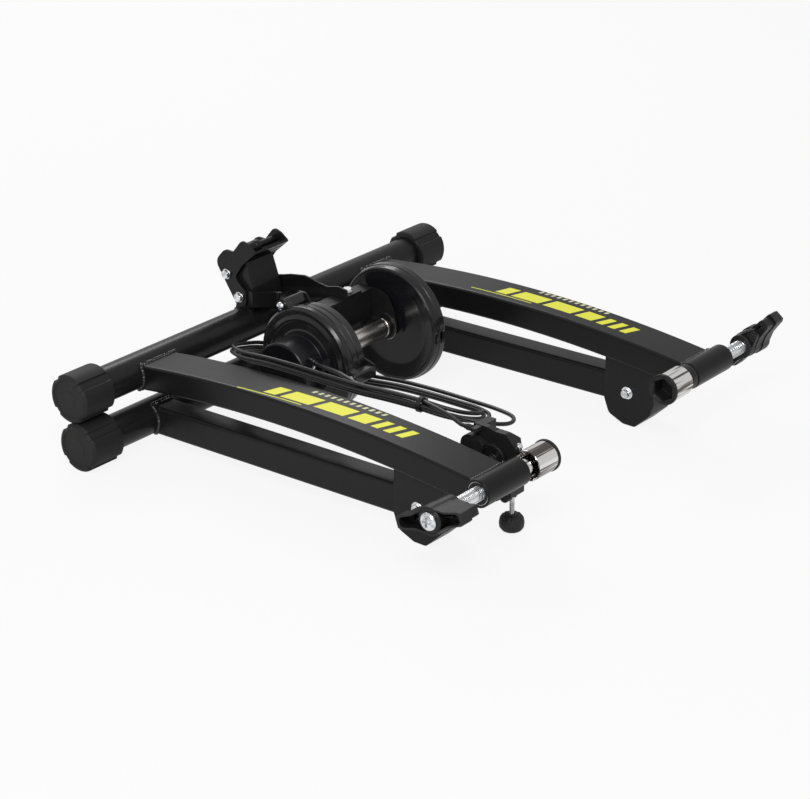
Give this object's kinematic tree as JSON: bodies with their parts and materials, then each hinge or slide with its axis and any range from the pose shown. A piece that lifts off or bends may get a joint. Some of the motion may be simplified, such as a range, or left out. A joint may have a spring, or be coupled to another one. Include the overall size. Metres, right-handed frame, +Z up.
{
  "type": "bike trainer",
  "caption": "Folding magnetic bicycle trainer, folded flat: A-frame tubes, screw clamps for the axle, swinging roller unit with flywheel, handlebar remote and tied cable",
  "frame": {"origin": "on the floor, under the middle of the box round everything but the cable", "axes": "+X along the cross tubes to the far side (the flywheel's side), +Y from the axle clamps towards the cross tubes, +Z up; folded flat as it is stored"},
  "size_m": [0.545, 0.504, 0.1661],
  "materials": {
    "black_steel": "satin black powder coat",
    "black_plastic": "black moulded plastic, fine grain",
    "gloss_plastic": "glossy black",
    "black_rubber": "matt black rubber",
    "cable_black": "black cable housing",
    "zinc": "bright zinc plate",
    "chrome": "polished chrome",
    "aluminium": "turned aluminium",
    "flywheel_black": "glossy black enamel"
  },
  "bodies": {
    "upper_frame": {"upper_cross_tube": "black_steel", "upper_arm_near": "black_steel", "upper_arm_far": "black_steel", "axle_sleeve_near": "black_steel", "axle_sleeve_far": "black_steel", "pivot_gusset_near": "black_steel", "pivot_gusset_far": "black_steel", "end_cap_upper_near": "black_rubber", "end_cap_upper_far": "black_rubber", "unit_bracket": "black_steel", "swing_bolt": "zinc", "sleeve_bush_near": "zinc", "sleeve_bush_far": "zinc", "pivot_bolt_near": "zinc", "pivot_bolt_far": "zinc", "axle_lock_ring_far": "black_plastic", "remote_body": "black_plastic", "remote_pivot_screw": "zinc", "cable_adjuster": "black_plastic", "cable_hank": "cable_black", "cable_lead_unit": "cable_black", "cable_lead_remote": "cable_black", "cable_tie": "black_plastic"},
    "lower_frame": {"lower_cross_tube": "black_steel", "lower_arm_near": "black_steel", "lower_arm_far": "black_steel", "end_cap_lower_near": "black_rubber", "end_cap_lower_far": "black_rubber"},
    "near_cup": {"clamp_cup_near": "chrome", "cup_insert_near": "black_rubber"},
    "near_rod": {"clamp_rod_near": "zinc", "clamp_handle_near": "black_plastic", "handle_screw_near": "zinc"},
    "far_cup": {"clamp_cup_far": "chrome", "cup_insert_far": "black_rubber"},
    "far_rod": {"clamp_rod_far": "zinc", "clamp_handle_far": "black_plastic", "handle_screw_far": "zinc"},
    "resistance_unit": {"unit_post": "black_steel", "foot_lever": "black_steel", "lever_bolt": "zinc", "swing_arm": "black_steel", "roller_yoke": "black_steel", "yoke_bolt": "zinc", "magnet_housing": "gloss_plastic", "cable_boss": "gloss_plastic", "housing_screw_upper": "zinc", "housing_screw_lower": "zinc", "bearing_near": "zinc", "bearing_far": "zinc"},
    "roller_group": {"roller": "chrome", "flywheel": "flywheel_black", "flywheel_nut": "zinc", "conductor_disc": "aluminium"},
    "carrier": {"magnet_carrier": "black_plastic"},
    "remote_drum": {"remote_lever": "black_plastic"},
    "remote_jaw": {"remote_clamp": "black_plastic"},
    "remote_screw": {"remote_clamp_screw": "zinc", "remote_clamp_knob": "black_plastic"}
  },
  "joints": [
    {"name": "frame_fold", "type": "hinge", "parent": "upper_frame", "child": "lower_frame", "pos_m": [0, -0.131, 0.0354], "axis": [-1, 0, 0], "range_deg": [0, 70]},
    {"name": "unit_swing", "type": "hinge", "parent": "upper_frame", "child": "resistance_unit", "pos_m": [-0.009, 0.222, 0.105], "axis": [-1, 0, 0], "range_deg": [0, 60]},
    {"name": "roller_spin", "type": "hinge", "parent": "resistance_unit", "child": "roller_group", "pos_m": [0, 0.107, 0.074], "axis": [1, 0, 0], "continuous": true},
    {"name": "carrier_turn", "type": "hinge", "parent": "resistance_unit", "child": "carrier", "pos_m": [-0.07, 0.107, 0.074], "axis": [-1, 0, 0], "range_deg": [0, 45]},
    {"name": "remote_lever_turn", "type": "hinge", "parent": "upper_frame", "child": "remote_drum", "pos_m": [-0.12, -0.168, 0.0735], "axis": [-1, 0, 0], "range_deg": [0, 90]},
    {"name": "near_clamp_slide", "type": "slide", "parent": "upper_frame", "child": "near_cup", "axis": [1, 0, 0], "range_m": [-0.01, 0.025]},
    {"name": "near_clamp_screw", "type": "hinge", "parent": "near_cup", "child": "near_rod", "pos_m": [-0.2, -0.2086, 0.0791], "axis": [1, 0, 0], "range_deg": [-1795, 4490]},
    {"name": "far_clamp_slide", "type": "slide", "parent": "upper_frame", "child": "far_cup", "axis": [-1, 0, 0], "range_m": [-0.0025, 0.025]},
    {"name": "far_clamp_screw", "type": "hinge", "parent": "far_cup", "child": "far_rod", "pos_m": [0.2, -0.2086, 0.0791], "axis": [-1, 0, 0], "range_deg": [-445, 4490]},
    {"name": "remote_jaw_slide", "type": "slide", "parent": "upper_frame", "child": "remote_jaw", "axis": [0, 0, 1], "range_m": [0, 0.007]},
    {"name": "remote_screw_turn", "type": "hinge", "parent": "remote_jaw", "child": "remote_screw", "pos_m": [-0.108, -0.1815, 0.03], "axis": [0, 0, 1], "range_deg": [0, 3140]}
  ],
  "couplings": [
    {"joint": "carrier_turn", "follows": "remote_lever_turn", "ratio": 0.5},
    {"joint": "near_clamp_slide", "follows": "near_clamp_screw", "m_per_rad": 0.00031831},
    {"joint": "far_clamp_slide", "follows": "far_clamp_screw", "m_per_rad": 0.00031831},
    {"joint": "remote_jaw_slide", "follows": "remote_screw_turn", "m_per_rad": 0.00012732}
  ]
}
